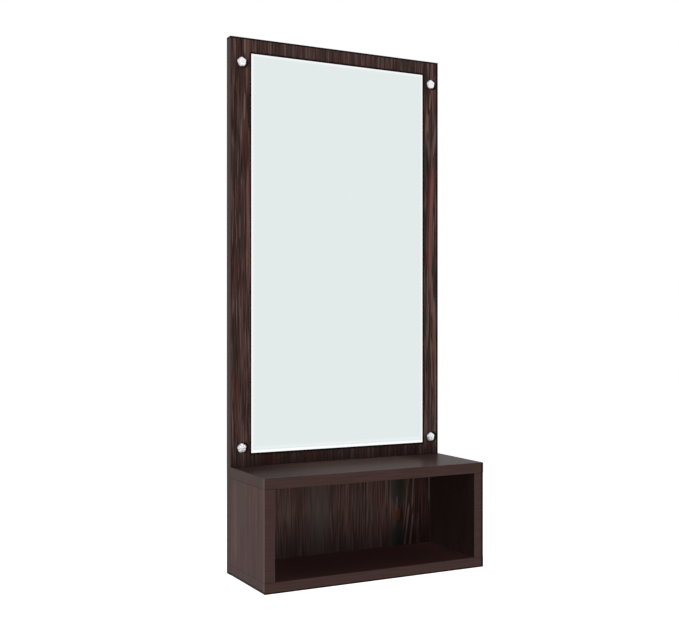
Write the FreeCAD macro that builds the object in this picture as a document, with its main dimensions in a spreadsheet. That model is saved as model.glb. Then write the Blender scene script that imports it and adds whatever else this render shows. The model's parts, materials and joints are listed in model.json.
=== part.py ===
import FreeCAD, Part

# Wall-mounted dressing table: a tall laminated back panel that carries a bevelled mirror,
# an open box shelf across its foot, and four blossom-shaped crystal studs over the wall screws.
#
# Frame: +Z is up, the front faces -Y and the wall is the plane Y = 0. The origin is the centre
# of the four wall-screw holes, on the back of the panel. Lengths are millimetres.

import math
import os
from enum import IntEnum
from types import SimpleNamespace

import Sketcher
from FreeCAD import Placement, Rotation, Vector

SIZES = {
    # Outside of the whole piece
    "overall_width": 416,
    "overall_height": 915,
    # Laminated boards and the bands on their edges
    "panel_thickness": 18,
    "board_thickness": 18,
    "edging_thickness": 1,
    "edging_radius": 0.8,
    # Box shelf, from the panel's front to its own front
    "box_height": 183,
    "box_depth": 146,
    # Mirror: margins to the panel's sides and top and to the box below, then the glass itself
    "mirror_side_margin": 36.5,
    "mirror_top_margin": 27.5,
    "mirror_shelf_gap": 22.5,
    "mirror_thickness": 4,
    "bevel_width": 7,
    "bevel_depth": 1.6,
    # Silver layer with its protective film
    "backing_thickness": 0.3,
    "backing_inset": 1,
    # Foam tape strips behind the mirror
    "tape_thickness": 1,
    "tape_width": 25,
    "tape_side_margin": 40,
    "tape_end_margin": 45,
    # Dowels in the corners of the box
    "dowel_diameter": 8,
    "dowel_length": 30,
    "dowel_face_depth": 12,
    "dowel_chamfer": 1,
    "dowel_end_gap": 0.5,
    "dowel_inset": 35,
    "dowel_fit": 0.05,
    # Connecting screws from behind, through the panel into the box boards
    "screw_diameter": 7,
    "screw_length": 50,
    "screw_head_diameter": 10,
    "screw_head_height": 3,
    "screw_tip_diameter": 4,
    "screw_tip_length": 4,
    "screw_socket_width": 4,
    "screw_socket_depth": 2.2,
    "screw_sink": 0.3,
    "screw_end_gap": 1,
    "screw_fit": 0.05,
    "screw_side_distance": 70,
    # Places of the wall screws and their studs
    "stud_side_distance": 19,
    "stud_top_distance": 43,
    "stud_shelf_distance": 32,
    # Stud base: a sleeve through the panel, a flange on its front and a collar for the nut
    "wall_screw_passage": 4.5,
    "wall_screw_head": 8.2,
    "wall_screw_head_depth": 0.6,
    "sleeve_diameter": 7,
    "sleeve_fit": 0.05,
    "flange_diameter": 11,
    "flange_thickness": 1,
    "collar_diameter": 9.6,
    "collar_height": 3.5,
    "collar_chamfer": 0.3,
    # Stud nut: a cup that turns on the collar
    "nut_diameter": 11.6,
    "nut_floor": 0.8,
    "nut_head_gap": 0.3,
    "nut_seat_gap": 0.05,
    "thread_clearance": 0.05,
    # Crystal: five domed petals about a domed middle, glued over the nut
    "crystal_height": 8.7,
    "crystal_panel_gap": 0.5,
    "crystal_fit": 0.05,
    "petal_radius": 5.2,
    "petal_offset": 3.2,
    "petal_wall": 2.5,
    "middle_radius": 3,
    # Angle of each blossom's first petal, in degrees from the right as seen from the front
    "petal_angle_top_left": 98,
    "petal_angle_top_right": 95,
    "petal_angle_bottom_left": 94,
    "petal_angle_bottom_right": 95,
}
PETAL_COUNT = 5
FULL_TURN = 360
HEXAGON_SIDES = 6
AXIS_TOLERANCE = 1e-9

# Directions of the whole piece, and the turn that makes a piece built upwards point to the front
RIGHT, LEFT = Vector(1, 0, 0), Vector(-1, 0, 0)
UP, DOWN = Vector(0, 0, 1), Vector(0, 0, -1)
FRONT = Vector(0, -1, 0)
FRONTWARD = Rotation(UP, FRONT)


# Sizes that carry their own formulas

class Size:
    """A number together with the sheet formula that gives it."""

    def __init__(self, value, formula):
        self.value = value
        self.formula = formula

    def __add__(self, other):
        return Size(self.value + other.value, f"({self.formula} + {other.formula})")

    def __sub__(self, other):
        return Size(self.value - other.value, f"({self.formula} - {other.formula})")

    def __mul__(self, ratio):
        return Size(self.value * ratio, f"({self.formula} * ({ratio}))")

    def __truediv__(self, ratio):
        return Size(self.value / ratio, f"({self.formula} / {ratio})")

    def __neg__(self):
        return Size(-self.value, f"(0 - {self.formula})")


ZERO = Size(0, "0")
doc = FreeCAD.newDocument("dressing_table")
sheet = doc.addObject("Spreadsheet::Sheet", "Sizes")
for row, (alias, number) in enumerate(SIZES.items(), start=1):
    sheet.set(f"A{row}", alias)
    sheet.set(f"B{row}", str(number))
    sheet.setAlias(f"B{row}", alias)
doc.recompute()
size = SimpleNamespace(**{name: Size(number, f"Sizes.{name}") for name, number in SIZES.items()})

pieces = []


# Helpers for bodies and sketches

class Axis(IntEnum):
    """A sketch's own axes; its origin is the start of the horizontal one."""

    HORIZONTAL = -1
    VERTICAL = -2


class Spot(IntEnum):
    """The points of a sketch element that a constraint can hold."""

    START = 1
    END = 2
    CENTRE = 3


def bind(item, name, length):
    """Sets one property of an object from the sheet."""
    item.setExpression(name, length.formula)


def place(item, corner, rotation=Rotation()):
    """Puts a piece's own origin at a corner of the whole, turned by a rotation."""
    item.Placement = Placement(Vector(*(length.value for length in corner)), rotation)
    for axis, length in zip("xyz", corner):
        bind(item, f"Placement.Base.{axis}", length)


def turned(outward, along):
    """The rotation that takes a piece's own X outward and its own Z along."""
    return Rotation(outward, along.cross(outward), along)


def new_body(label):
    body = doc.addObject("PartDesign::Body", label)
    body.Label = label
    pieces.append(body)
    return body


def origin_feature(body, role):
    return next(item for item in body.Origin.OriginFeatures if item.Role == role)


def new_sketch(body, name, plane, offset=ZERO):
    """A sketch on one of the body's own origin planes, lifted off it by an offset."""
    sketch = body.newObject("Sketcher::SketchObject", f"{body.Label}_{name}")
    sketch.AttachmentSupport = (origin_feature(body, plane), [""])
    sketch.MapMode = "FlatFace"
    sketch.AttachmentOffset = Placement(Vector(0, 0, offset.value), Rotation())
    bind(sketch, "AttachmentOffset.Base.z", offset)
    return sketch


def dimension(sketch, constraint, length):
    """Adds one driving dimension and binds it to the sheet."""
    index = sketch.addConstraint(constraint)
    bind(sketch, f"Constraints[{index}]", length)


def locate(sketch, element, point, x, y):
    """Holds one point of a sketch at its distances from the sketch's origin."""
    origin = (Axis.HORIZONTAL, Spot.START)
    for kind, axis, distance in (("DistanceX", Axis.VERTICAL, x), ("DistanceY", Axis.HORIZONTAL, y)):
        if abs(distance.value) < AXIS_TOLERANCE:
            sketch.addConstraint(Sketcher.Constraint("PointOnObject", element, point, axis))
        else:
            held = Sketcher.Constraint(kind, *origin, element, point, distance.value)
            dimension(sketch, held, distance)


def end_at(sketch, side, point):
    """Which end of a side lies at a point; an arc may have been drawn from its other end."""
    gaps = {end: (sketch.getPoint(side, end) - point).Length for end in (Spot.START, Spot.END)}
    return min(gaps, key=gaps.get)


def draw_outline(sketch, corners, arcs=None):
    """A closed outline through corners; arcs gives a side's radius and centre where it is round."""
    arcs = arcs or {}
    points = [Vector(x.value, y.value, 0) for x, y in corners]
    count = len(points)
    for side, start in enumerate(points):
        end = points[(side + 1) % count]
        if side in arcs:
            radius, (centre_x, centre_y) = arcs[side]
            centre = Vector(centre_x.value, centre_y.value, 0)
            middle = centre + ((start + end) / 2 - centre).normalize() * radius.value
            sketch.addGeometry(Part.Arc(start, middle, end))
        else:
            sketch.addGeometry(Part.LineSegment(start, end))
    for side, (x, y) in enumerate(corners):
        previous = (side - 1) % count
        start = end_at(sketch, side, points[side])
        joined = (side, start, previous, end_at(sketch, previous, points[side]))
        sketch.addConstraint(Sketcher.Constraint("Coincident", *joined))
        locate(sketch, side, start, x, y)
    for side, (radius, _) in arcs.items():
        dimension(sketch, Sketcher.Constraint("Radius", side, radius.value), radius)


def draw_rectangle(sketch, width, height, inset=ZERO):
    """A rectangle from the sketch's origin, drawn in from its outline by an inset."""
    right, top = width - inset, height - inset
    draw_outline(sketch, [(inset, inset), (right, inset), (right, top), (inset, top)])


def pad(body, name, sketch, length):
    feature = body.newObject("PartDesign::Pad", f"{body.Label}_{name}")
    feature.Profile = sketch
    bind(feature, "Length", length)
    return feature


def pocket(body, name, sketch, depth, reverse):
    """Cuts a sketch into the body: behind the sketch, or before it where reversed."""
    feature = body.newObject("PartDesign::Pocket", f"{body.Label}_{name}")
    feature.Profile = sketch
    feature.Reversed = reverse
    bind(feature, "Length", depth)
    return feature


def drill(body, name, plane, centres, diameter, depth, offset=ZERO, reverse=True):
    """Round holes of one size from a plane of the body into it."""
    sketch = new_sketch(body, f"{name}_sketch", plane, offset)
    for x, y in centres:
        circle = Part.Circle(Vector(x.value, y.value, 0), UP, diameter.value / 2)
        element = sketch.addGeometry(circle)
        locate(sketch, element, Spot.CENTRE, x, y)
        dimension(sketch, Sketcher.Constraint("Diameter", element, diameter.value), diameter)
    return pocket(body, name, sketch, depth, reverse)


# Kinds of piece that the table repeats

def board(label, width, height, depth, corner):
    """A board drawn as seen from the front, from its lower left corner, and padded to the front."""
    body = new_body(label)
    sketch = new_sketch(body, "outline", "XZ_Plane")
    draw_rectangle(sketch, width, height)
    pad(body, "thickness", sketch, depth)
    place(body, corner)
    return body


def edging(label, width, length, corner, outward, along):
    """An edge band whose two outer long edges are rounded over."""
    body = new_body(label)
    sketch = new_sketch(body, "section", "XY_Plane")
    draw_rectangle(sketch, size.edging_thickness, width)
    strip = pad(body, "length", sketch, length)
    doc.recompute()
    outer = size.edging_thickness.value
    long_edges = [
        f"Edge{number}"
        for number, edge in enumerate(strip.Shape.Edges, start=1)
        if all(abs(vertex.X - outer) < AXIS_TOLERANCE for vertex in edge.Vertexes)
        and abs(edge.tangentAt(edge.FirstParameter).z) > 1 - AXIS_TOLERANCE
    ]
    rounding = body.newObject("PartDesign::Fillet", f"{label}_rounding")
    rounding.Base = (strip, long_edges)
    bind(rounding, "Radius", size.edging_radius)
    place(body, corner, turned(outward, along))
    return body


def turn_profile(body, name, corners, arcs=None, centre=ZERO):
    """Turns a profile of radius and height about an axis that stands a distance off the body's own."""
    sketch = new_sketch(body, f"{name}_profile", "XZ_Plane")
    outline = [(centre + radius, height) for radius, height in corners]
    draw_outline(sketch, outline, arcs)
    feature = body.newObject("PartDesign::Revolution", f"{body.Label}_{name}")
    feature.Profile = sketch
    if centre is ZERO:
        feature.ReferenceAxis = (sketch, ["V_Axis"])
    else:
        low, high = Vector(centre.value, 0, 0), Vector(centre.value, size.crystal_height.value, 0)
        element = sketch.addGeometry(Part.LineSegment(low, high), True)
        locate(sketch, element, Spot.START, centre, ZERO)
        locate(sketch, element, Spot.END, centre, size.crystal_height)
        feature.ReferenceAxis = (sketch, ["Axis0"])
    return feature


# Places that several pieces share

half_width = size.overall_width / 2
panel_front = -size.panel_thickness
box_front = panel_front - size.box_depth
stud_low = size.box_height + size.stud_shelf_distance
stud_high = size.overall_height - size.stud_top_distance
foot = -((stud_low + stud_high) / 2)

side_board_middle = size.board_thickness / 2
bottom_board_middle = size.board_thickness / 2
top_board_middle = size.box_height - size.board_thickness / 2
right_side_middle = size.overall_width - side_board_middle
screw_right = size.overall_width - size.screw_side_distance

# Places seen from the front, from the lower left corner of the whole
STUDS = {
    "top_left": (size.stud_side_distance, stud_high),
    "top_right": (size.overall_width - size.stud_side_distance, stud_high),
    "bottom_left": (size.stud_side_distance, stud_low),
    "bottom_right": (size.overall_width - size.stud_side_distance, stud_low),
}
SCREWS = {
    "top_board_left": (size.screw_side_distance, top_board_middle),
    "top_board_middle": (half_width, top_board_middle),
    "top_board_right": (screw_right, top_board_middle),
    "bottom_board_left": (size.screw_side_distance, bottom_board_middle),
    "bottom_board_middle": (half_width, bottom_board_middle),
    "bottom_board_right": (screw_right, bottom_board_middle),
    "left_board": (side_board_middle, size.box_height / 2),
    "right_board": (right_side_middle, size.box_height / 2),
}
screw_hole = size.screw_diameter + size.screw_fit * 2
screw_entry = size.screw_length - size.panel_thickness + size.screw_sink + size.screw_end_gap
sleeve_hole = size.sleeve_diameter + size.sleeve_fit * 2


def moved(places, right, up):
    """Places measured again from a corner that lies further right and up."""
    return [(x - right, z - up) for x, z in places]


# Back panel and its edge bands

def back_panel():
    band = size.edging_thickness
    width, height = size.overall_width - band * 2, size.overall_height - band * 2
    body = board("back_panel", width, height, size.panel_thickness, (band - half_width, ZERO, foot + band))
    studs = moved(STUDS.values(), band, band)
    screws = moved(SCREWS.values(), band, band)
    drill(body, "sleeve_holes", "XZ_Plane", studs, sleeve_hole, size.panel_thickness)
    drill(body, "screw_holes", "XZ_Plane", screws, screw_hole, size.panel_thickness)
    head_hole = size.screw_head_diameter + size.screw_fit * 2
    drill(body, "screw_head_holes", "XZ_Plane", screws, head_hole, size.screw_sink + size.screw_head_height)


def panel_edging():
    band, thick = size.edging_thickness, size.panel_thickness
    across = size.overall_width - band * 2
    inner_left = band - half_width
    top = foot + size.overall_height
    edging("panel_edging_left", thick, size.overall_height, (inner_left, ZERO, foot), LEFT, UP)
    inner_right = half_width - band
    edging("panel_edging_right", thick, size.overall_height, (inner_right, panel_front, foot), RIGHT, UP)
    edging("panel_edging_top", thick, across, (inner_left, ZERO, top - band), UP, RIGHT)
    edging("panel_edging_bottom", thick, across, (inner_left, panel_front, foot + band), DOWN, RIGHT)


# Box shelf: the top and bottom boards run the full width and the side boards stand between them

dowel_hole = size.dowel_diameter + size.dowel_fit * 2
dowel_face_hole = size.dowel_face_depth + size.dowel_end_gap
dowel_end_hole = size.dowel_length - size.dowel_face_depth + size.dowel_end_gap
DOWEL_DEPTHS = {"back": size.dowel_inset, "front": size.box_depth - size.dowel_inset}
BOX_SIDES = {"left": side_board_middle, "right": right_side_middle}


def cross_board(label, screw_group, low, face_offset, face_reverse):
    """A full-width board: screw holes in its rear edge and dowel holes in its inner face."""
    band = size.edging_thickness
    width, depth = size.overall_width - band * 2, size.box_depth - band
    corner = (band - half_width, panel_front, foot + low)
    body = board(label, width, size.board_thickness, depth, corner)
    screws = moved([spot for name, spot in SCREWS.items() if name.startswith(screw_group)], band, low)
    drill(body, "screw_holes", "XZ_Plane", screws, screw_hole, screw_entry)
    dowels = [(x - band, -y) for x in BOX_SIDES.values() for y in DOWEL_DEPTHS.values()]
    drill(body, "dowel_holes", "XY_Plane", dowels, dowel_hole, dowel_face_hole, face_offset, face_reverse)


def side_board(label, screw_name, left):
    """An upright board: one screw hole in its rear edge and dowel holes in both ends."""
    height = size.box_height - size.board_thickness * 2
    low = size.board_thickness
    corner = (left - half_width, panel_front, foot + low)
    body = board(label, size.board_thickness, height, size.box_depth - size.edging_thickness, corner)
    drill(body, "screw_hole", "XZ_Plane", moved([SCREWS[screw_name]], left, low), screw_hole, screw_entry)
    dowels = [(size.board_thickness / 2, -y) for y in DOWEL_DEPTHS.values()]
    drill(body, "low_dowel_holes", "XY_Plane", dowels, dowel_hole, dowel_end_hole)
    drill(body, "high_dowel_holes", "XY_Plane", dowels, dowel_hole, dowel_end_hole, height, False)


def box_shelf():
    top_low = size.box_height - size.board_thickness
    cross_board("shelf_top_board", "top_board", top_low, ZERO, True)
    cross_board("shelf_bottom_board", "bottom_board", ZERO, size.board_thickness, False)
    side_board("shelf_left_board", "left_board", ZERO)
    side_board("shelf_right_board", "right_board", size.overall_width - size.board_thickness)


def box_edging():
    band, thick = size.edging_thickness, size.board_thickness
    front = box_front + band
    end_length = size.box_depth - band
    for level, low in (("top", size.box_height - thick), ("bottom", ZERO)):
        base, top = foot + low, foot + low + thick
        label = f"{level}_board_edging"
        edging(f"{label}_front", thick, size.overall_width, (-half_width, front, top), FRONT, RIGHT)
        edging(f"{label}_left", thick, end_length, (band - half_width, panel_front, top), LEFT, FRONT)
        edging(f"{label}_right", thick, end_length, (half_width - band, panel_front, base), RIGHT, FRONT)
    height = size.box_height - thick * 2
    for side, left in (("left", -half_width), ("right", half_width - thick)):
        edging(f"{side}_board_edging", thick, height, (left, front, foot + thick), FRONT, UP)


def dowels():
    radius, chamfer, length = size.dowel_diameter / 2, size.dowel_chamfer, size.dowel_length
    profile = [
        (ZERO, ZERO), (radius - chamfer, ZERO), (radius, chamfer),
        (radius, length - chamfer), (radius - chamfer, length), (ZERO, length),
    ]
    face = size.dowel_face_depth
    starts = {
        "top": size.box_height - size.board_thickness + face - length,
        "bottom": size.board_thickness - face,
    }
    for level, low in starts.items():
        for side, x in BOX_SIDES.items():
            for place_name, depth in DOWEL_DEPTHS.items():
                body = new_body(f"dowel_{level}_{side}_{place_name}")
                turn_profile(body, "peg", profile)
                place(body, (x - half_width, panel_front - depth, foot + low))


def connecting_screws():
    """Flush-headed screws; their threads are drawn as plain shanks."""
    head, shank, tip = size.screw_head_diameter / 2, size.screw_diameter / 2, size.screw_tip_diameter / 2
    length, neck = size.screw_length, size.screw_length - size.screw_tip_length
    profile = [
        (ZERO, ZERO), (head, ZERO), (head, size.screw_head_height), (shank, size.screw_head_height),
        (shank, neck), (tip, length), (ZERO, length),
    ]
    corner_radius = size.screw_socket_width / 2 / math.cos(math.pi / HEXAGON_SIDES)
    angles = [2 * math.pi * side / HEXAGON_SIDES for side in range(HEXAGON_SIDES)]
    socket = [(corner_radius * math.cos(angle), corner_radius * math.sin(angle)) for angle in angles]
    for name, (x, z) in SCREWS.items():
        body = new_body(f"panel_screw_{name}")
        turn_profile(body, "shank", profile)
        sketch = new_sketch(body, "socket_outline", "XY_Plane")
        draw_outline(sketch, socket)
        pocket(body, "socket", sketch, size.screw_socket_depth, True)
        place(body, (x - half_width, -size.screw_sink, foot + z), FRONTWARD)


# Mirror: bevelled glass, silver layer with its film, and three strips of foam tape

mirror_width = size.overall_width - size.mirror_side_margin * 2
mirror_low = size.box_height + size.mirror_shelf_gap
mirror_height = size.overall_height - size.mirror_top_margin - mirror_low
mirror_left = size.mirror_side_margin - half_width
tape_front = panel_front - size.tape_thickness
mirror_back = tape_front - size.backing_thickness


def mirror_glass():
    body = new_body("mirror_glass")
    edge_height = size.mirror_thickness - size.bevel_depth
    outline = new_sketch(body, "outline", "XZ_Plane")
    draw_rectangle(outline, mirror_width, mirror_height)
    pad(body, "edge", outline, edge_height)
    bevel_start = new_sketch(body, "bevel_start", "XZ_Plane", edge_height)
    draw_rectangle(bevel_start, mirror_width, mirror_height)
    bevel_end = new_sketch(body, "bevel_end", "XZ_Plane", size.mirror_thickness)
    draw_rectangle(bevel_end, mirror_width, mirror_height, size.bevel_width)
    bevel = body.newObject("PartDesign::AdditiveLoft", "mirror_glass_bevel")
    bevel.Profile = bevel_start
    bevel.Sections = [bevel_end]
    bevel.Ruled = True
    place(body, (mirror_left, mirror_back, foot + mirror_low))


def mirror_backing():
    inset = size.backing_inset
    width, height = mirror_width - inset * 2, mirror_height - inset * 2
    corner = (mirror_left + inset, tape_front, foot + mirror_low + inset)
    board("mirror_backing", width, height, size.backing_thickness, corner)


def mirror_tapes():
    height = mirror_height - size.tape_end_margin * 2
    low = foot + mirror_low + size.tape_end_margin
    first = mirror_left + size.tape_side_margin
    lefts = {"left": first, "centre": -(size.tape_width / 2), "right": -first - size.tape_width}
    for name, left in lefts.items():
        board(f"mirror_tape_{name}", size.tape_width, height, size.tape_thickness, (left, panel_front, low))


# Studs: heights here are measured from the wall, towards the front

flange_front = size.panel_thickness + size.flange_thickness
collar_front = flange_front + size.collar_height
nut_back = flange_front + size.nut_seat_gap
nut_inside = collar_front + size.nut_head_gap
nut_front = nut_inside + size.nut_floor
crystal_back = size.panel_thickness + size.crystal_panel_gap


def stud_base(label):
    body = new_body(label)
    bore, head = size.wall_screw_passage / 2, size.wall_screw_head / 2
    sleeve, flange, collar = size.sleeve_diameter / 2, size.flange_diameter / 2, size.collar_diameter / 2
    head_seat = collar_front - size.wall_screw_head_depth
    cone_end = head_seat - (head - bore)
    chamfer = size.collar_chamfer
    profile = [
        (bore, ZERO), (sleeve, ZERO), (sleeve, size.panel_thickness), (flange, size.panel_thickness),
        (flange, flange_front), (collar, flange_front), (collar, collar_front - chamfer),
        (collar - chamfer, collar_front), (head, collar_front), (head, head_seat), (bore, cone_end),
    ]
    turn_profile(body, "turned", profile)
    return body


def stud_nut(label):
    body = new_body(label)
    socket = size.collar_diameter / 2 + size.thread_clearance
    outside = size.nut_diameter / 2
    profile = [
        (socket, nut_back), (outside, nut_back), (outside, nut_front),
        (ZERO, nut_front), (ZERO, nut_inside), (socket, nut_inside),
    ]
    turn_profile(body, "turned", profile)
    return body


def stud_crystal(label):
    """Five petals and the middle, each a short column under a dome, with a socket for the nut."""
    body = new_body(label)
    middle_wall = crystal_back + size.crystal_height - size.middle_radius
    petal_wall = crystal_back + size.petal_wall
    dome(body, "middle", size.middle_radius, middle_wall, ZERO)
    petal = dome(body, "petal", size.petal_radius, petal_wall, size.petal_offset)
    ring = body.newObject("PartDesign::PolarPattern", f"{label}_petals")
    ring.Originals = [petal]
    ring.Axis = (origin_feature(body, "Z_Axis"), [""])
    ring.Angle = FULL_TURN
    ring.Occurrences = PETAL_COUNT
    body.Tip = ring
    doc.recompute()
    socket = size.nut_diameter + size.crystal_fit * 2
    depth = nut_front - crystal_back
    drill(body, "nut_socket", "XY_Plane", [(ZERO, ZERO)], socket, depth, crystal_back)
    return body


def dome(body, name, radius, wall_top, centre):
    """A column from the crystal's back with a half ball on top."""
    corners = [(ZERO, crystal_back), (radius, crystal_back), (radius, wall_top), (ZERO, wall_top + radius)]
    arcs = {2: (radius, (centre, wall_top))}
    return turn_profile(body, name, corners, arcs, centre)


def studs():
    for name, (x, z) in STUDS.items():
        corner = (x - half_width, ZERO, foot + z)
        place(stud_base(f"stud_base_{name}"), corner, FRONTWARD)
        place(stud_nut(f"stud_nut_{name}"), corner, FRONTWARD)
        spin = Rotation(UP, SIZES[f"petal_angle_{name}"])
        place(stud_crystal(f"stud_crystal_{name}"), corner, FRONTWARD * spin)


# Build, check and write every piece

def check_pieces():
    """Stops at any object that failed, any cut that removed nothing and any piece that isn't one solid."""
    for item in doc.Objects:
        if "Invalid" in item.State or "Error" in item.State:
            raise RuntimeError(f"{item.Label}: {item.State}")
        if item.TypeId == "PartDesign::Pocket" and item.Shape.Volume >= item.BaseFeature.Shape.Volume:
            raise RuntimeError(f"{item.Label} removes nothing")
    for body in pieces:
        if body.Shape.isNull() or not body.Shape.isValid() or len(body.Shape.Solids) != 1:
            raise RuntimeError(f"{body.Label} isn't one valid solid")


back_panel()
panel_edging()
box_shelf()
box_edging()
dowels()
connecting_screws()
mirror_glass()
mirror_backing()
mirror_tapes()
studs()
doc.recompute()
check_pieces()
os.makedirs("parts", exist_ok=True)
for body in pieces:
    body.Shape.exportStep(f"parts/{body.Label}.step")
print(f"{len(pieces)} pieces written")
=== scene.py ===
import json
import math
from typing import NamedTuple

import bpy
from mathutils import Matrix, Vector


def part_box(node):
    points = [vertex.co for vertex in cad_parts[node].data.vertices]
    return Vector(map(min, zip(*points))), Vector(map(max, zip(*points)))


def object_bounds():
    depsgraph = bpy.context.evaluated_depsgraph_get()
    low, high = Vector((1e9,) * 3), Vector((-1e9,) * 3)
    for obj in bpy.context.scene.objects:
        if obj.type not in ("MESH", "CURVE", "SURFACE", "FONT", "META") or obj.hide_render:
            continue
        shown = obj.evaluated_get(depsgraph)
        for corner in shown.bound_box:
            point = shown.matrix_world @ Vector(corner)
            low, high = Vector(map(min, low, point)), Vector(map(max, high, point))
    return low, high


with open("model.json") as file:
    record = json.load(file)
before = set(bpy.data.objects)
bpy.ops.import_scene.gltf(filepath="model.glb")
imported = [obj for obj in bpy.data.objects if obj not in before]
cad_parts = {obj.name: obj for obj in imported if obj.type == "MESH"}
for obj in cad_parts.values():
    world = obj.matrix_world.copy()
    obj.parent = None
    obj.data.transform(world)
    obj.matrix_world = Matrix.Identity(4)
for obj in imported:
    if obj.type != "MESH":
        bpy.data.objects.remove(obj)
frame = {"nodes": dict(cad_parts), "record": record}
cad_low, cad_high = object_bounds()
nodes = frame["nodes"]

MM = 0.001
WHITE = (1, 1, 1, 1)

# The photograph's frame, and the camera that its edges give, with its place in metres
PICTURE_WIDTH_PX = 679
PICTURE_MIDDLE_PX = 311
FOCAL_PX = 1050.75
HORIZON_PX = 319.1
SENSOR_WIDTH_MM = 36
CAMERA_PLACE = (-0.8629, -1.6848, -0.1093)
CAMERA_LEVEL_DEG = 90
CAMERA_YAW_DEG = -27.37

# Light: an even white room, a broad lamp in front, one at the left and a weaker one behind
ROOM_STRENGTH = 0.5
LAMPS = {
    "front_lamp": {"place": (-0.4, -4.0, -0.1), "side": 3.0, "power": 80},
    "left_lamp": {"place": (-3.5, -0.8, 0.2), "side": 2.0, "power": 45},
    "back_lamp": {"place": (0.8, 3.0, 1.4), "side": 2.0, "power": 25},
}

# Floor: how far below the part it lies and how wide it is, in metres, its grey, and the glow that
# brings it up to white
FLOOR_DROP = 0.4
FLOOR_SIDE = 12
FLOOR_GREY = 0.8
FLOOR_GLOW = 0.6


# Soft steps, layers of grain and streaks

class Step(NamedTuple):
    """A soft step between two places: what it gives before the first and after the second."""

    start: float
    end: float
    before: float = 0.0
    after: float = 1.0


class Grain(NamedTuple):
    """Noise drawn out along the grain: how wide and long its features are in mm, and its seed."""

    width: float
    length: float
    seed: float
    detail: float = 2.0


class Streak(NamedTuple):
    """Ends in mm across from the middle and below the panel's top, a bow and a half width in mm.

    The streak fades out over the soft share of its half width.
    """

    top: tuple
    foot: tuple
    bow: float
    half_width: float
    shade: tuple
    strength: float
    soft: float = 0.55


# Laminate: its roughness, its specular level, and how much of the white room it gives back when
# seen from straight ahead; the top of the box is smoother
MATT = 0.5
SHEEN_LEVEL = 0.085
SHEEN = 0.0075
TOP_MATT = 0.34
TOP_SHEEN_LEVEL = 0.011

# A face looks along an axis where more than this share of its normal does
FACE_SHARE = 0.5

# Noise lies about this middle, and this step brings out its darks and lights
NOISE_MIDDLE = 0.5
NOISE_SPREAD = Step(0.3, 0.7)

# The panel's grain: slow bends, the layers that make its tone with their weights beside the fine
# one, and two layers that tint it; between the stiles one even tone lies over a share of it, and
# dark lines come last
BEND_REACH = 5 * MM
PANEL_BENDS = Grain(40, 260, 1.3, detail=1.0)
PANEL_GRAIN = {
    "fine": Grain(0.8, 45, 2.1),
    "lines": Grain(1.8, 60, 5.7),
    "bands": Grain(5, 130, 9.2),
    "broad": Grain(16, 300, 12.9, detail=1.0),
    "red": Grain(3, 100, 14.6),
    "green": Grain(7, 120, 21.8),
}
PANEL_TONE_WEIGHTS = {"lines": 1.8, "bands": 0.6, "broad": 0.6}
PANEL_TONES = ((0.0, (36, 28, 26)), (0.4, (56, 42, 39)), (0.7, (76, 60, 57)), (1.0, (98, 82, 78)))
PANEL_TINTS = {"red": (84, 48, 43), "green": (48, 45, 41)}
PANEL_TINT_SPREAD = Step(0.52, 0.7, 0.0, 0.6)
PANEL_EVEN_TONE = (68, 53, 51)
PANEL_EVEN_SHARE = 0.3
PANEL_DARK_LINE = (38, 28, 26)
PANEL_DARK_LINES = Step(0.3, 0.5, 0.4, 0.0)
PANEL_RELIEF = 0.03 * MM

# The contrast of that grain: on the left and the right stile, at the mirror's foot, and between the
# stiles over the box and in it; where the stiles start, as a share of half the mirror's width; and
# how far below and above the mirror's foot the contrast of the foot reaches
LEFT_CONTRAST = 1.4
RIGHT_CONTRAST = 2.1
FOOT_CONTRAST = 0.8
OVER_BOX_CONTRAST = 0.95
IN_BOX_CONTRAST = 0.7
STILE_START = 0.85
FOOT_BELOW = 20 * MM
FOOT_ABOVE = 90 * MM

# Painted shade on the panel: how far the painted shadow line about the mirror shows past its
# edges, and where it fades, in shares of that; how far the painted shadow beside each stud is
# pushed aside, its radius, and where it fades
MIRROR_SHADOW_WIDTHS = {"left": 0.3 * MM, "right": 6 * MM, "top": 4.6 * MM, "bottom": 4 * MM}
MIRROR_SHADOW_FADE = Step(0.6, 1.3)
MIRROR_SHADOW_SHADE = (10, 7, 7)
STUD_SHADOW_ASIDE = {"left": 5 * MM, "right": 7.4 * MM}
STUD_SHADOW_RADIUS = 8.7 * MM
STUD_SHADOW_FADE = Step(0.85, 1.25)
STUD_SHADE = (31, 23, 22)

# The thin painted shade line along the outer edges at the right, top and foot: its width, how many
# widths away it is gone, how many times thinner it is along the panel's top, and along the foot as
# seen from the front and from the side, and a distance that keeps it off the faces turned to an
# edge
RIM_WIDTH = 3 * MM
RIM_GONE_WIDTHS = 1.6
TOP_RIM_THINNER = 1.25
FRONT_FOOT_RIM_THINNER = 1.6
SIDE_FOOT_RIM_THINNER = 0.9
RIM_CLEAR = 10 * MM
RIM_SHADE = (16, 11, 10)

# Shade that gathers on the panel above the box and above the floor inside it
BOX_TOP_SHADE = {"height": 40 * MM, "strength": 0.5}
BOX_FLOOR_SHADE = {"height": 90 * MM, "strength": 0.7}
GATHERED_SHADE = (22, 14, 13)

# Painted shade in corners and seams: how near the neighbour is, and how open a point is where the
# shade is darkest and where it ends
OPENNESS_SAMPLES = 8
SEAM_REACH = 5 * MM
SEAM_FADE = Step(0.62, 0.97)
SEAM_SHADE = (26, 18, 17)

# The boards of the box: their grain and its shades
BOARD_BENDS = Grain(25, 180, 3.1, detail=1.0)
BOARD_FINE = Grain(1.2, 70, 4.4, detail=3.0)
BOARD_MIDDLE = Grain(9, 150, 7.9)
BOARD_DARK = (61, 45, 43)
BOARD_LIGHT = (73, 54, 52)
BOARD_WARM = (83, 58, 55)
BOARD_WARM_SPREAD = Step(0.42, 0.66, 0.0, 0.6)
BOARD_RELIEF = 0.02 * MM
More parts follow.
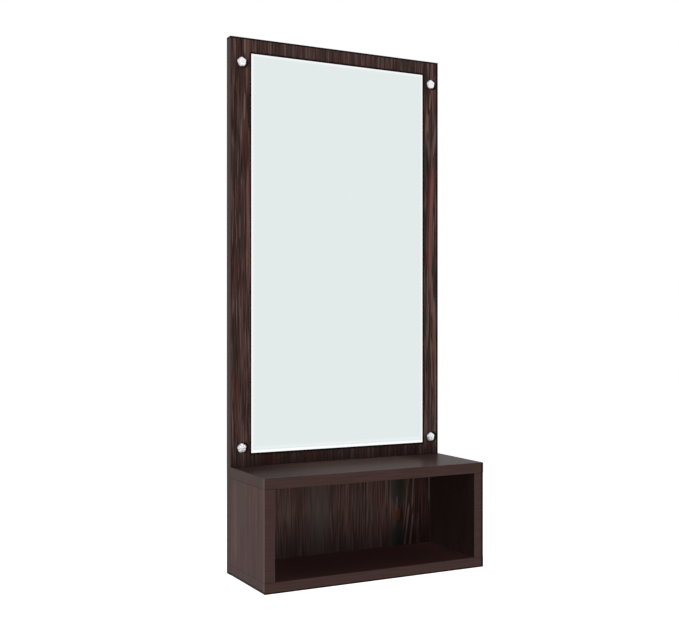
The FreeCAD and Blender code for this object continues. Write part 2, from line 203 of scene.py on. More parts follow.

# The top of the box: painted light in the middle that stands in for its sheen, and painted dark
# reflection towards its ends, with dark lines in it
TOP_PAINTED_SHEEN = (87, 70, 66)
TOP_DARK_REFLECTION = (56, 40, 37)
TOP_LINE = (58, 44, 41)
TOP_LINES = Step(0.3, 0.7, 0.2, 0.0)
TOP_LEFT_DARK_REFLECTION = Step(cad_low.x, -40 * MM, 1.0, 0.0)
TOP_RIGHT_DARK_REFLECTION = Step(95 * MM, 150 * MM, 0.0, 0.8)

# Inside the box the boards are painted as shaded copies of the laminate, darker on the walls than
# on the levels, lifted to make up for part of the lost light so that they look nearly even; the
# back is given painted light by its place in mm from left to right
BOX_REACH = 120 * MM
BOX_WALL_SHADE = (25, 16, 14)
BOX_LEVEL_SHADE = (50, 30, 29)
BOX_LINE = (62, 47, 44)
BOX_LINES = Step(0.3, 0.7, 0.0, 0.2)
BOX_BACK_LIGHT = ((-190, 1.15), (-140, 0.84), (95, 0.88), (128, 0.33))

# Edge bands: their grain, the strip of the panel's with painted shade near the wall, and the strip
# with a painted highlight at the front end of the box's sides
BAND_FINE = Grain(1.1, 45, 3.3, detail=3.0)
WALL_SHADE_STRIP = Step(-9 * MM, -5 * MM, 0.0, 0.8)
WALL_STRIP_SHADE = (52, 42, 40)
END_HIGHLIGHT = Step(cad_low.y + 6 * MM, cad_low.y + 11 * MM, 0.5, 0.0)
END_HIGHLIGHT_COLOR = (92, 74, 73)

# Mirror: how little its bevel and its ground edge look forward, where the painted white highlight
# on the bevel turns to green on its way in and up from the foot, and how high the painted brighter
# reflection on the face reaches above the foot
MIRROR_BEVEL_LOOK = Step(0.985, 0.995, 1.0, 0.0)
MIRROR_EDGE_LOOK = Step(0.5, 0.9, 1.0, 0.0)
BEVEL_INWARDS = Step(2.2 * MM, 3.8 * MM)
BEVEL_UPWARDS = Step(3.6 * MM, 5.4 * MM)
FOOT_REFLECTION = Step(6 * MM, 15 * MM, 1.0, 0.0)
MIRROR_FACE = (226, 235, 234)
MIRROR_FOOT_REFLECTION = (236, 242, 242)
BEVEL_HIGHLIGHT = (251, 250, 248)
BEVEL_INNER = (228, 237, 237)
BEVEL_FOOT_HIGHLIGHT = (255, 255, 255)
GROUND_EDGE = (60, 51, 48)

# Crystal, with painted shade in its valleys, on its left flanks and on its sides: how near its own
# lobes stand, how open its valleys and lobes are, how far the flanks look to the left, and how
# little its sides look forward
LOBE_REACH = 3 * MM
LOBE_OPENNESS = Step(0.6, 0.95)
LEFT_FLANK_LOOK = Step(-0.55, -0.2, 0.45, 0.0)
SIDE_LOOK = Step(-0.4, -0.1)
LOBE = (252, 251, 254)
VALLEY_SHADE = (130, 130, 138)
LEFT_FLANK_SHADE = (150, 148, 152)
CRYSTAL_SIDE_SHADE = (84, 78, 82)

# Plain materials: the clouds in them, the relief of the matt ones, and their shades, two for those
# that cloud between two
METAL_CLOUD = 2 * MM
METAL_DETAIL = 2.0
METAL_DARKER = 0.85
MATT_DETAIL = 3.0
MATT_RELIEF = 0.05 * MM
ZINC = (196, 196, 190)
CHROME = (225, 226, 230)
BEECH = ((205, 165, 120), (190, 148, 104))
FILM = ((120, 124, 128), (110, 114, 118))
FOAM = ((225, 225, 220), (212, 212, 208))
PANEL_BAND = ((57, 45, 43), (67, 53, 51))
BOARD_BAND = ((62, 47, 45), (72, 55, 53))

# The shades of the larger streaks
PALE = (108, 86, 76)
PINK_BROWN = (108, 76, 71)
RED_BROWN = (88, 46, 42)
ORANGE_BROWN = (98, 60, 47)
KNOT_BROWN = (92, 58, 48)
TAN = (108, 84, 74)
GREY = (70, 63, 60)
RED_BLACK = (46, 32, 31)
DARK_RED = (66, 34, 32)
GREEN_BLACK = (34, 35, 32)
BRIGHT = (132, 106, 101)
FLAME = (54, 53, 49)

# A streak's swell is 0 at its ends and 1 in its middle, and it widens over this step of it
STREAK_TAPER = Step(0.0, 0.8)

PANEL_STREAKS = [
    # Right stile, from its top down
    Streak((195, -20), (194.5, 70), 0, 3.6, PINK_BROWN, 0.75),
    Streak((192, 56), (189, 94), 0, 2.4, PALE, 0.8),
    Streak((187, 94), (183, 138), 0, 2.2, PALE, 0.9),
    Streak((202, 112), (197, 184), 0, 2.2, PALE, 0.8),
    Streak((197, 130), (192.5, 275), 0, 3, PINK_BROWN, 0.8),
    Streak((178, 150), (179, 250), 0, 4, GREEN_BLACK, 0.7),
    Streak((194, 172), (187, 420), -2, 6, RED_BROWN, 0.8),
    Streak((199, 168), (192, 430), -3, 5, PINK_BROWN, 0.95),
    Streak((192, 380), (199, 500), -1, 4, PINK_BROWN, 0.85),
    Streak((179, 420), (180, 530), 0, 4, GREEN_BLACK, 0.6),
    Streak((198, 430), (202.6, 570), 0, 2.8, PALE, 0.8),
    Streak((202.6, 500), (202.2, 745), 0, 2.8, PALE, 0.8),
    Streak((198, 450), (198, 640), 0, 4, ORANGE_BROWN, 0.5),
    Streak((192, 505), (196, 620), 0, 2.4, PALE, 0.8),
    # Left stile
    Streak((-181, -20), (-182, 34), 0, 3.4, PALE, 0.9),
    Streak((-172, -20), (-173, 30), 0, 3, ORANGE_BROWN, 0.5),
    Streak((-194, 62), (-194, 116), 0, 2, ORANGE_BROWN, 0.5),
    Streak((-182, 90), (-183, 146), 0, 2.2, PALE, 0.8),
    Streak((-174, 84), (-174, 165), 0, 3, GREEN_BLACK, 0.8),
    Streak((-176, 195), (-175.5, 460), 0, 4.5, PINK_BROWN, 0.8),
    Streak((-191, 296), (-191, 350), 0, 2, PINK_BROWN, 0.5),
    # Strip between mirror and box
    Streak((-142, 690), (-142, 750), 0, 16, DARK_RED, 0.5),
    Streak((-50, 690), (-50, 750), 0, 26, DARK_RED, 0.35),
    Streak((118, 690), (118, 750), 0, 14, DARK_RED, 0.4),
    Streak((150, 690), (150, 750), 0, 12, DARK_RED, 0.4),
    Streak((188, 690), (188, 750), 0, 10, DARK_RED, 0.4),
]

# Back of the box: a grey field, a dark flame with a knot in it, and pale lines that lean away
BOX_STREAKS = [
    Streak((-43, 690), (-43, 950), 0, 27, GREY, 0.6),
    Streak((120, 680), (121, 842), 0, 20, FLAME, 1),
    Streak((121, 842), (122, 990), 0, 20, FLAME, 1),
    Streak((118, 826), (120, 852), 0, 14, KNOT_BROWN, 0.85),
    Streak((129, 824), (129, 858), 0, 4, DARK_RED, 1),
    Streak((119, 802), (118, 838), 0, 2.2, BRIGHT, 0.4),
    Streak((140, 735), (139, 808), 0, 4.5, ORANGE_BROWN, 0.9),
    Streak((147, 740), (133, 872), 0, 2.4, BRIGHT, 0.5),
    Streak((156, 740), (151, 842), 0, 2.2, BRIGHT, 0.45),
    Streak((146, 812), (133, 915), 0, 2.4, BRIGHT, 0.85),
    Streak((155, 830), (144, 915), 0, 2.5, BRIGHT, 0.75),
    Streak((166, 830), (161, 915), 0, 2.2, BRIGHT, 0.3),
    Streak((188, 735), (188, 832), 0, 2.4, BRIGHT, 0.4),
    Streak((95, 745), (96, 828), 0, 1.8, PALE, 0.35),
    Streak((106, 745), (105, 828), 0, 1.8, PALE, 0.25),
]

# Sides of the box, with the ends in mm from the wall and below the panel's top
SIDE_STREAKS = [
    Streak((-38, 725), (-41, 900), 0, 20, TAN, 0.3, soft=1.2),
    Streak((-72, 690), (-68, 850), 0, 21, GREY, 0.45, soft=1.2),
    Streak((-135, 768), (-134, 845), 1, 1.8, RED_BLACK, 0.5),
    Streak((-131, 784), (-131, 808), 0, 1.6, PALE, 0.4),
    Streak((-131, 813), (-131, 832), 0, 1.6, PALE, 0.4),
    Streak((-118, 790), (-119, 880), 0, 1.4, RED_BLACK, 0.4),
]


# Colours

def linear(channel):
    """One sRGB channel from 0 to 255 as linear light."""
    share = channel / 255
    return share / 12.92 if share <= 0.04045 else ((share + 0.055) / 1.055) ** 2.4


def rgb(red, green, blue, sheen=0.0):
    """A linear colour from an sRGB one, less what the sheen of the surface adds to it."""
    least = 0.0005
    return tuple(max(linear(channel) - sheen, least) for channel in (red, green, blue)) + (1,)


def wood(red, green, blue):
    """A laminate's colour, written as it looks with its sheen."""
    return rgb(red, green, blue, SHEEN)


# Node trees

# A mix node's sockets by number, since their names repeat: factor, first, second and result
MIX_SOCKETS = {"RGBA": (0, 6, 7, 2), "VECTOR": (0, 4, 5, 1)}


class Tree:
    """Short calls that add nodes to one tree; an input is a plain value or another's output."""

    def __init__(self, tree):
        self.tree = tree
        tree.nodes.clear()

    def add(self, kind, inputs=None, **settings):
        node = self.tree.nodes.new(kind)
        for name, value in settings.items():
            setattr(node, name, value)
        for key, value in (inputs or {}).items():
            self.feed(node.inputs[key], value)
        return node

    def feed(self, socket, value):
        if isinstance(value, bpy.types.NodeSocket):
            self.tree.links.new(value, socket)
        else:
            socket.default_value = value

    def math(self, operation, *values):
        node = self.add("ShaderNodeMath", operation=operation)
        for socket, value in zip(node.inputs, values):
            self.feed(socket, value)
        return node.outputs[0]

    def times(self, first, second):
        return self.math("MULTIPLY", first, second)

    def times_plus(self, first, second, rest):
        """The first value times the second, and the rest added to it."""
        return self.math("MULTIPLY_ADD", first, second, rest)

    def minus(self, first, second):
        return self.math("SUBTRACT", first, second)

    def over(self, first, second):
        return self.math("DIVIDE", first, second)

    def absolute(self, value):
        return self.math("ABSOLUTE", value)

    def is_over(self, value, limit):
        """1 where the value is over the limit, and else 0."""
        return self.math("GREATER_THAN", value, limit)

    def is_under(self, value, limit):
        """1 where the value is under the limit, and else 0."""
        return self.math("LESS_THAN", value, limit)

    def largest(self, *values):
        most = values[0]
        for value in values[1:]:
            most = self.math("MAXIMUM", most, value)
        return most

    def smallest(self, *values):
        least = values[0]
        for value in values[1:]:
            least = self.math("MINIMUM", least, value)
        return least

    def step(self, value, start, end, before=0.0, after=1.0):
        """A soft step of a value, as in Step."""
        inputs = {
            "Value": value, "From Min": start, "From Max": end, "To Min": before, "To Max": after
        }
        node = self.add("ShaderNodeMapRange", inputs, interpolation_type="SMOOTHSTEP")
        return node.outputs["Result"]

    def between(self, share, before, after):
        """A soft way from one value to another as a share runs from 0 to 1."""
        return self.step(share, 0.0, 1.0, before, after)

    def mix(self, factor, first, second, kind="RGBA"):
        """Two colours or vectors mixed; the factor runs from the first to the second."""
        *inputs, result = MIX_SOCKETS[kind]
        values = dict(zip(inputs, (factor, first, second)))
        return self.add("ShaderNodeMix", values, data_type=kind).outputs[result]

    def scaled(self, color, factor):
        """A colour made lighter or darker by a factor."""
        inputs = {0: color, "Scale": factor}
        return self.add("ShaderNodeVectorMath", inputs, operation="SCALE").outputs[0]

    def ramp(self, value, stops):
        """A colour read off a ramp of (place, colour) stops."""
        node = self.add("ShaderNodeValToRGB", {"Fac": value})
        steps = node.color_ramp.elements
        while len(steps) < len(stops):
            steps.new(1.0)
        for step, (place, color) in zip(steps, stops):
            step.position = place
            step.color = color
        return node.outputs["Color"]

    def noise(self, x, y, z, detail):
        """Smooth noise about its middle, with features one unit across."""
        vector = self.add("ShaderNodeCombineXYZ", {0: x, 1: y, 2: z}).outputs[0]
        inputs = {"Vector": vector, "Scale": 1.0, "Detail": detail}
        return self.add("ShaderNodeTexNoise", inputs).outputs[0]

    def place(self):
        """The three coordinates of a point of the surface, in metres in the part's own frame."""
        point = self.add("ShaderNodeTexCoord").outputs["Object"]
        return self.add("ShaderNodeSeparateXYZ", {0: point}).outputs

    def facing(self):
        """The three parts of the surface's own normal, without smoothing."""
        normal = self.add("ShaderNodeNewGeometry").outputs["True Normal"]
        return self.add("ShaderNodeSeparateXYZ", {0: normal}).outputs

    def openness(self, reach, own_only=False):
        """How open a point is within reach: 1 on open ground, less in corners and seams."""
        settings = {"samples": OPENNESS_SAMPLES, "only_local": own_only}
        node = self.add("ShaderNodeAmbientOcclusion", {"Distance": reach}, **settings)
        return node.outputs["AO"]

    def relief(self, height, depth):
        """A normal with bumps of this depth, from a height between 0 and 1."""
        return self.add("ShaderNodeBump", {"Height": height, "Distance": depth}).outputs[0]

    def surface(self, color, **inputs):
        """The surface's shader: its colour, and plain values by the shader's own names."""
        shader = self.add("ShaderNodeBsdfPrincipled", {"Base Color": color})
        for name, value in inputs.items():
            self.feed(shader.inputs[name.replace("_", " ")], value)
        self.output("ShaderNodeOutputMaterial", shader)

    def output(self, kind, shader):
        """The tree's end, in a material or a world."""
        self.add(kind, {"Surface": shader.outputs[0]})


def new_material(name):
    material = bpy.data.materials.new(name)
    material.use_nodes = True
    return material, Tree(material.node_tree)


# Grain and streaks

def grain(tree, across, along, layer):
    """One layer of grain, from the place across and along it."""
    across = tree.over(across, layer.width * MM)
    along = tree.over(along, layer.length * MM)
    return tree.noise(across, layer.seed, along, layer.detail)


def wander(tree, across, along, bends):
    """The place across the grain, pushed aside by up to half the reach in slow bends."""
    bend = grain(tree, across, along, bends)
    push = tree.times(tree.minus(bend, NOISE_MIDDLE), BEND_REACH)
    return tree.math("ADD", across, push)


def draw_streak(tree, color, across, z, streak):
    """Lays one tapering streak over a colour; its swell is share * 4 * (1 - share)."""
    top = cad_high.z - streak.top[1] * MM
    length = (streak.foot[1] - streak.top[1]) * MM
    lean = (streak.foot[0] - streak.top[0]) * MM
    whole_width = streak.half_width * MM
    share = tree.over(tree.minus(top, z), length)
    swell = tree.times(tree.times(share, 4.0), tree.minus(1.0, share))
    path = tree.times_plus(share, lean, streak.top[0] * MM)
    path = tree.times_plus(swell, streak.bow * MM, path)
    aside = tree.absolute(tree.minus(across, path))
    half_width = tree.times(tree.step(swell, *STREAK_TAPER), whole_width)
    inside = tree.over(tree.minus(half_width, aside), whole_width)
    factor = tree.step(inside, 0.0, streak.soft, 0.0, streak.strength)
    return tree.mix(factor, color, wood(*streak.shade))


def draw_streaks(tree, color, across, z, streaks):
    for streak in streaks:
        color = draw_streak(tree, color, across, z, streak)
    return color


# Painted shade and light

def painted_seam_shade(tree, color):
    """A colour with painted shade where another piece stands close by."""
    return tree.mix(tree.step(tree.openness(SEAM_REACH), *SEAM_FADE), wood(*SEAM_SHADE), color)


def painted_mirror_shadow(tree, color, x, z):
    """A painted shadow: the dark line on the panel about the mirror."""
    low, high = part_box("mirror_glass")
    beyond = {
        "left": tree.minus(low.x, x),
        "right": tree.minus(x, high.x),
        "top": tree.minus(z, high.z),
        "bottom": tree.minus(low.z, z),
    }
    widths = [tree.over(beyond[side], width) for side, width in MIRROR_SHADOW_WIDTHS.items()]
    fade = tree.step(tree.largest(*widths), *MIRROR_SHADOW_FADE)
    return tree.mix(fade, wood(*MIRROR_SHADOW_SHADE), color)


def stud_shadows(tree, color, x, z):
    """The soft shadow on the panel beside each stud."""
    for level in ("top", "bottom"):
        for side, push in STUD_SHADOW_ASIDE.items():
            low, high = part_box(f"stud_base_{level}_{side}")
            aside = tree.minus(x, (low.x + high.x) / 2 + push)
            above = tree.minus(z, (low.z + high.z) / 2)
            square = tree.times_plus(aside, aside, tree.times(above, above))
            radii = tree.over(tree.math("SQRT", square), STUD_SHADOW_RADIUS)
            color = tree.mix(tree.step(radii, *STUD_SHADOW_FADE), wood(*STUD_SHADE), color)
    return color


def painted_rim_shade(tree, color, *gaps):
    """A painted shade line along outer edges; each gap is the distance to one of them."""
    nearness = tree.largest(*(tree.times(gap, -1.0) for gap in gaps))
    factor = tree.step(nearness, -RIM_GONE_WIDTHS * RIM_WIDTH, -RIM_WIDTH)
    return tree.mix(factor, color, wood(*RIM_SHADE))


def painted_end_highlight(tree, color, y, facing_x):
    """A painted highlight: the lighter strip at the front end of the box's sides."""
    factor = tree.times(tree.step(y, *END_HIGHLIGHT), tree.absolute(facing_x))
    return tree.mix(factor, color, wood(*END_HIGHLIGHT_COLOR))


def gathered_shade(tree, z, level, height, strength):
    """How dark a point above a level is: the strength at the level, nothing at the height."""
    return tree.times(tree.is_over(z, level), tree.step(z, level, level + height, strength, 0.0))


def back_light(tree, x):
    """The light on the back of the box at a place across it."""
    places = [(place * MM, light) for place, light in BOX_BACK_LIGHT]
    light = places[0][1]
    for (start, before), (end, after) in zip(places, places[1:]):
        light = tree.math("ADD", light, tree.step(x, start, end, 0.0, after - before))
    return light


def lifted(tree, color, light=1.0):
    """A colour that makes up for the light that is lost in the box."""
    return tree.scaled(color, tree.over(light, tree.openness(BOX_REACH)))


# Materials

def panel_contrast(tree, x, z, on_stile, below_top):
    """How strong the grain of the panel is at a place."""
    low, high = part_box("mirror_glass")
    by_side = tree.step(x, low.x, high.x, LEFT_CONTRAST, RIGHT_CONTRAST)
    by_height = tree.step(z, low.z - FOOT_BELOW, low.z + FOOT_ABOVE, FOOT_CONTRAST, 1.0)
    quiet = tree.between(below_top, OVER_BOX_CONTRAST, IN_BOX_CONTRAST)
    return tree.times(tree.times(by_side, by_height), tree.between(on_stile, quiet, 1.0))


def panel_grain(tree, x, z, on_stile, below_top):
    """The panel's colour before its streaks, and its layers of fine grain and of lines."""
    bent = wander(tree, x, z, PANEL_BENDS)
    layers = {name: grain(tree, bent, z, layer) for name, layer in PANEL_GRAIN.items()}
    tone = layers["fine"]
    for name, weight in PANEL_TONE_WEIGHTS.items():
        tone = tree.times_plus(layers[name], weight, tone)
    middle = NOISE_MIDDLE * (1 + sum(PANEL_TONE_WEIGHTS.values()))
    contrast = panel_contrast(tree, x, z, on_stile, below_top)
    tone = tree.times_plus(tree.minus(tone, middle), contrast, NOISE_MIDDLE)
    color = tree.ramp(tone, [(place, wood(*shade)) for place, shade in PANEL_TONES])
    for name, tint in PANEL_TINTS.items():
        share = tree.times(tree.step(layers[name], *PANEL_TINT_SPREAD), contrast)
        color = tree.mix(share, color, wood(*tint))
    even = tree.between(on_stile, PANEL_EVEN_SHARE, 0.0)
    return tree.mix(even, color, wood(*PANEL_EVEN_TONE)), layers["fine"], layers["lines"]


def panel_laminate():
    """Dark striped laminate with upright grain and larger streaks, and painted shade, shadows and
    light on its front.
    """
    material, tree = new_material("panel_laminate")
    x, _, z = tree.place()
    _, facing_y, _ = tree.facing()
    half_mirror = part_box("mirror_glass")[1].x
    box_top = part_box("shelf_top_board")[1].z
    box_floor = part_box("shelf_bottom_board")[1].z

    # 1 on the front, on its part in the box, and on the stiles with all that isn't the front
    front = tree.is_under(facing_y, -FACE_SHARE)
    below_top = tree.times(front, tree.is_under(z, box_top))
    on_stile = tree.step(tree.absolute(x), STILE_START * half_mirror, half_mirror)
    on_stile = tree.times(on_stile, tree.minus(1.0, below_top))
    on_stile = tree.largest(on_stile, tree.minus(1.0, front))

    color, fine, lines = panel_grain(tree, x, z, on_stile, below_top)
    color = draw_streaks(tree, color, x, z, PANEL_STREAKS)
    color = tree.mix(below_top, color, draw_streaks(tree, color, x, z, BOX_STREAKS))
    color = tree.mix(tree.step(lines, *PANEL_DARK_LINES), color, wood(*PANEL_DARK_LINE))

    # Painted shade, shadows and light that the front shows besides
    over_box = gathered_shade(tree, z, box_top, **BOX_TOP_SHADE)
    in_box = tree.times(gathered_shade(tree, z, box_floor, **BOX_FLOOR_SHADE), below_top)
    shown = tree.mix(tree.largest(over_box, in_box), color, wood(*GATHERED_SHADE))
    shown = tree.mix(below_top, shown, lifted(tree, shown, back_light(tree, x)))
    below_edge = tree.times(tree.minus(cad_high.z, z), TOP_RIM_THINNER)
    shown = painted_rim_shade(tree, shown, tree.minus(cad_high.x, x), below_edge)
    shown = painted_mirror_shadow(tree, shown, x, z)
    shown = stud_shadows(tree, shown, x, z)
    color = tree.mix(front, color, shown)

    relief = tree.relief(fine, PANEL_RELIEF)
    tree.surface(color, Normal=relief, Roughness=MATT, Specular_IOR_Level=SHEEN_LEVEL)
    return material


def board_laminate(name, roughness, sheen_level):
    """Plain dark brown laminate with a faint grain along each board, with painted light and shade
    on the top, inside the box, in the seams and at the sides' front ends.
    """
    material, tree = new_material(name)
    x, y, z = tree.place()
    facing_x, _, facing_z = tree.facing()
    box_middle = (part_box("shelf_bottom_board")[0].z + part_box("shelf_top_board")[1].z) / 2

    # The grain runs across level faces from left to right, and down the others
    level = tree.is_over(tree.absolute(facing_z), FACE_SHARE)
    along = tree.times_plus(level, tree.minus(x, z), z)
    bent = wander(tree, y, along, BOARD_BENDS)
    fine = grain(tree, bent, along, BOARD_FINE)
    middle = grain(tree, bent, along, BOARD_MIDDLE)
    color = tree.mix(tree.step(fine, *NOISE_SPREAD), wood(*BOARD_DARK), wood(*BOARD_LIGHT))
    color = tree.mix(tree.step(middle, *BOARD_WARM_SPREAD), color, wood(*BOARD_WARM))
    color = draw_streaks(tree, color, bent, z, SIDE_STREAKS)
    # Painted highlight at the front ends of the sides
    color = painted_end_highlight(tree, color, y, facing_x)

    # Painted sheen in the middle of the top, and painted dark reflection towards its ends
    on_top = tree.times(tree.is_over(facing_z, FACE_SHARE), tree.is_over(z, box_middle))
    dark_reflection = tree.largest(tree.step(x, *TOP_LEFT_DARK_REFLECTION), tree.step(x, *TOP_RIGHT_DARK_REFLECTION))
    top_color = tree.mix(dark_reflection, rgb(*TOP_PAINTED_SHEEN), rgb(*TOP_DARK_REFLECTION))
    top_color = tree.mix(tree.step(fine, *TOP_LINES), top_color, rgb(*TOP_LINE))
    top_color = painted_rim_shade(tree, top_color, tree.minus(cad_high.x, x))
    color = tree.mix(on_top, color, top_color)

    # More than 0 on faces that look to the middle of the box
    inwards = tree.times(facing_z, tree.minus(box_middle, z))
    inwards = tree.times_plus(facing_x, tree.times(x, -1.0), inwards)
    # Painted shade inside the box, darker on the walls than on the levels and lifted against the
    # light lost there; outside it, painted shade in the seams
    painted_inside = tree.mix(level, rgb(*BOX_WALL_SHADE), rgb(*BOX_LEVEL_SHADE))
    painted_inside = tree.mix(tree.step(fine, *BOX_LINES), painted_inside, rgb(*BOX_LINE))
    painted_inside = lifted(tree, painted_inside)
    color = tree.mix(tree.is_over(inwards, 0.0), painted_seam_shade(tree, color), painted_inside)

    relief = tree.relief(fine, BOARD_RELIEF)
    tree.surface(color, Normal=relief, Roughness=roughness, Specular_IOR_Level=sheen_level)
    return material


def edge_band(name, dark, light, upright=False):
    """A matt edge band, grained along its length, with a painted shade line where it is an outer
    edge.
    """
    material, tree = new_material(name)
    x, y, z = tree.place()
    facing_x, _, facing_z = tree.facing()
    sideways, level = tree.absolute(facing_x), tree.absolute(facing_z)
    across, along = (x, z) if upright else (z, x)
    fine = grain(tree, tree.math("ADD", across, y), along, BAND_FINE)
    color = tree.mix(tree.step(fine, *NOISE_SPREAD), wood(*dark), wood(*light))
    # Painted shade near the wall on the panel's bands; a painted highlight at the front ends of the
    # box's sides
    if upright:
        color = tree.mix(tree.step(y, *WALL_SHADE_STRIP), color, wood(*WALL_STRIP_SHADE))
    else:
        color = painted_end_highlight(tree, color, y, facing_x)

    # How far away each outer edge is
    right = tree.times_plus(sideways, RIM_CLEAR, tree.minus(cad_high.x, x))
    top = tree.times_plus(level, RIM_CLEAR, tree.minus(cad_high.z, z))
    side_thinner = SIDE_FOOT_RIM_THINNER - FRONT_FOOT_RIM_THINNER
    thinner = tree.times_plus(sideways, side_thinner, FRONT_FOOT_RIM_THINNER)
    foot = tree.times(tree.minus(z, cad_low.z), thinner)
    foot = tree.times_plus(level, RIM_CLEAR, foot)

    # Painted shade line on the outer edges, and painted shade in the seams
    color = painted_seam_shade(tree, painted_rim_shade(tree, color, right, top, foot))
    relief = tree.relief(fine, BOARD_RELIEF)
    tree.surface(color, Normal=relief, Roughness=MATT, Specular_IOR_Level=SHEEN_LEVEL)
    return material


def mirror():
    """Silvered glass: a faintly green face, brighter by a painted reflection at its foot, a painted
    white highlight on the outer bevel, and dark ground edges.
    """
    material, tree = new_material("mirror")
    low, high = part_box("mirror_glass")
    x, _, z = tree.place()
    _, facing_y, _ = tree.facing()
    forward = tree.times(facing_y, -1.0)
    on_bevel = tree.step(forward, *MIRROR_BEVEL_LOOK)
    on_edge = tree.step(forward, *MIRROR_EDGE_LOOK)
    inwards = tree.smallest(tree.minus(x, low.x), tree.minus(high.z, z), tree.minus(high.x, x))
    upwards = tree.minus(z, low.z)
    # Painted white highlight on the bevel, fading to green inwards and whitest at the foot
    bevel_highlight = tree.mix(tree.step(inwards, *BEVEL_INWARDS), rgb(*BEVEL_HIGHLIGHT), rgb(*BEVEL_INNER))
    bevel_highlight = tree.mix(tree.step(upwards, *BEVEL_UPWARDS), rgb(*BEVEL_FOOT_HIGHLIGHT), bevel_highlight)
    # Painted brighter reflection on the face near its foot
    face = tree.mix(tree.step(upwards, *FOOT_REFLECTION), rgb(*MIRROR_FACE), rgb(*MIRROR_FOOT_REFLECTION))
    color = tree.mix(on_bevel, face, bevel_highlight)
    color = tree.mix(on_edge, color, rgb(*GROUND_EDGE))

    # Face and bevel mirror as one flat pane; the ground edge keeps its own normal
    flat = tree.add("ShaderNodeCombineXYZ", {0: 0.0, 1: -1.0, 2: 0.0}).outputs[0]
    own = tree.add("ShaderNodeNewGeometry").outputs["Normal"]
    slope = tree.mix(on_edge, flat, own, kind="VECTOR")
    tree.surface(color, Normal=slope, Metallic=1.0, Roughness=0.02)
    return material


def crystal():
    """Moulded crystal over bright foil: white lobes, with painted shade in the valleys, on the left
    flanks and on the sides.
    """
    material, tree = new_material("crystal")
    facing_x, facing_y, _ = tree.facing()
    # Painted shade in the valleys, on the left flanks and on the sides
    lobes = tree.step(tree.openness(LOBE_REACH, own_only=True), *LOBE_OPENNESS)
    color = tree.mix(lobes, rgb(*VALLEY_SHADE), rgb(*LOBE))
    color = tree.mix(tree.step(facing_x, *LEFT_FLANK_LOOK), color, rgb(*LEFT_FLANK_SHADE))
    color = tree.mix(tree.step(facing_y, *SIDE_LOOK), color, rgb(*CRYSTAL_SIDE_SHADE))
    tree.surface(color, Metallic=0.35, Roughness=0.25, Specular_IOR_Level=0.7)
    return material


def clouds(tree, feature, detail):
    """Noise with features of one size in all directions."""
    return tree.noise(*(tree.times(part, 1.0 / feature) for part in tree.place()), detail)


def plain_metal(name, shade, roughness):
    """Plated metal that clouds a little."""
    material, tree = new_material(name)
    cloudy = tree.step(clouds(tree, METAL_CLOUD, METAL_DETAIL), *NOISE_SPREAD)
    light = rgb(*shade)
    dark = tuple(METAL_DARKER * channel for channel in light[:3]) + (1,)
    tree.surface(tree.mix(cloudy, light, dark), Metallic=1.0, Roughness=roughness)
    return material


def plain_matt(name, first, second, feature, roughness):
    """A matt material that clouds between two shades."""
    material, tree = new_material(name)
    cloudy = clouds(tree, feature, MATT_DETAIL)
    color = tree.mix(tree.step(cloudy, *NOISE_SPREAD), rgb(*first), rgb(*second))
    tree.surface(color, Normal=tree.relief(cloudy, MATT_RELIEF), Roughness=roughness)
    return material


def dress():
    """Gives each node of the frame its slot's material, and the top of the box a smoother one."""
    made = {
        "panel_laminate": panel_laminate(),
        "panel_edging": edge_band("panel_edging", *PANEL_BAND, upright=True),
        "board_laminate": board_laminate("board_laminate", MATT, SHEEN_LEVEL),
        "board_edging": edge_band("board_edging", *BOARD_BAND),
        "beech": plain_matt("beech", *BEECH, feature=2 * MM, roughness=0.6),
        "zinc_steel": plain_metal("zinc_steel", ZINC, roughness=0.35),
        "mirror": mirror(),
        "backing_film": plain_matt("backing_film", *FILM, feature=3 * MM, roughness=0.5),
        "foam_tape": plain_matt("foam_tape", *FOAM, feature=1 * MM, roughness=0.9),
        "chrome": plain_metal("chrome", CHROME, roughness=0.08),
        "crystal": crystal(),
    }
    of_its_own = {
        "shelf_top_board": board_laminate("board_laminate_top", TOP_MATT, TOP_SHEEN_LEVEL)
    }
    for subpart in frame["record"]["subparts"]:
        node = nodes[subpart["node"]]
        material = of_its_own.get(subpart["node"], made[subpart["material_slot"]])
        node.data.materials.clear()
        node.data.materials.append(material)


# Surroundings

def white_room():
    """Even light from all sides, seen as plain white directly and in what is shiny or clear."""
    world = bpy.data.worlds.new("room")
    world.use_nodes = True
    bpy.context.scene.world = world
    tree = Tree(world.node_tree)
    path = tree.add("ShaderNodeLightPath").outputs
    shown = tree.largest(path["Is Camera Ray"], path["Is Glossy Ray"], path["Is Transmission Ray"])
    inputs = {"Value": shown, "To Min": ROOM_STRENGTH, "To Max": 1.0}
    strength = tree.add("ShaderNodeMapRange", inputs).outputs["Result"]
    back = tree.add("ShaderNodeBackground", {"Color": WHITE, "Strength": strength})
    tree.output("ShaderNodeOutputWorld", back)


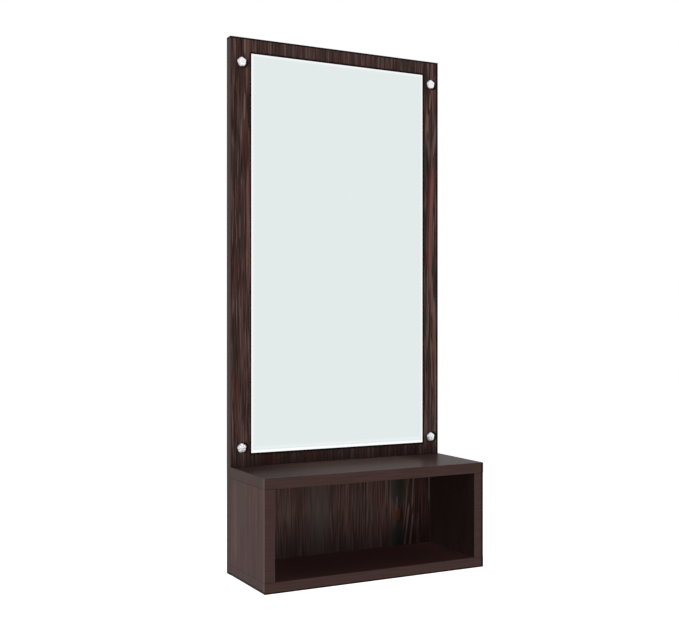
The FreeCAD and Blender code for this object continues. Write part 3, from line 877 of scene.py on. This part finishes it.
def floor_material():
    """Pale and white as seen, with the shadow that falls on it, and clear from below."""
    material, tree = new_material("floor")
    path = tree.add("ShaderNodeLightPath").outputs
    mirrored = tree.largest(path["Is Glossy Ray"], path["Is Transmission Ray"])
    glow = tree.largest(tree.times(path["Is Camera Ray"], FLOOR_GLOW), mirrored)
    grey = tree.times(tree.minus(1.0, mirrored), FLOOR_GREY)
    matt = tree.add("ShaderNodeBsdfDiffuse", {"Color": grey})
    light = tree.add("ShaderNodeEmission", {"Color": WHITE, "Strength": glow})
    both = tree.add("ShaderNodeAddShader", {0: matt.outputs[0], 1: light.outputs[0]})
    below = tree.add("ShaderNodeNewGeometry").outputs["Backfacing"]
    clear = tree.add("ShaderNodeBsdfTransparent")
    shaders = {0: below, 1: both.outputs[0], 2: clear.outputs[0]}
    tree.output("ShaderNodeOutputMaterial", tree.add("ShaderNodeMixShader", shaders))
    return material


def floor():
    """One large level square below the part."""
    half = FLOOR_SIDE / 2
    height = cad_low.z - FLOOR_DROP
    corners = [(x * half, y * half, height) for x, y in ((-1, -1), (1, -1), (1, 1), (-1, 1))]
    mesh = bpy.data.meshes.new("floor")
    mesh.from_pydata(corners, [], [(0, 1, 2, 3)])
    mesh.materials.append(floor_material())
    plane = bpy.data.objects.new("floor", mesh)
    bpy.context.scene.collection.objects.link(plane)


def lamp(name, place, side, power):
    """A square soft lamp turned to the middle of the object, unseen in what is shiny."""
    light = bpy.data.lights.new(name, "AREA")
    light.size = side
    light.energy = power
    item = bpy.data.objects.new(name, light)
    item.location = place
    middle = (cad_low + cad_high) / 2
    item.rotation_euler = (middle - Vector(place)).to_track_quat("-Z", "Y").to_euler()
    item.visible_glossy = False
    bpy.context.scene.collection.objects.link(item)


def camera():
    """The photograph's view: level, from the left, with the horizon just below the middle."""
    data = bpy.data.cameras.new("camera")
    data.sensor_width = SENSOR_WIDTH_MM
    data.lens = FOCAL_PX / PICTURE_WIDTH_PX * SENSOR_WIDTH_MM
    data.shift_y = (HORIZON_PX - PICTURE_MIDDLE_PX) / PICTURE_WIDTH_PX
    item = bpy.data.objects.new("camera", data)
    item.rotation_euler = (math.radians(CAMERA_LEVEL_DEG), 0, math.radians(CAMERA_YAW_DEG))
    item.location = CAMERA_PLACE
    bpy.context.scene.collection.objects.link(item)
    bpy.context.scene.camera = item


dress()
white_room()
floor()
for lamp_name, lamp_values in LAMPS.items():
    lamp(lamp_name, **lamp_values)
camera()
bpy.context.scene.view_settings.view_transform = "Standard"
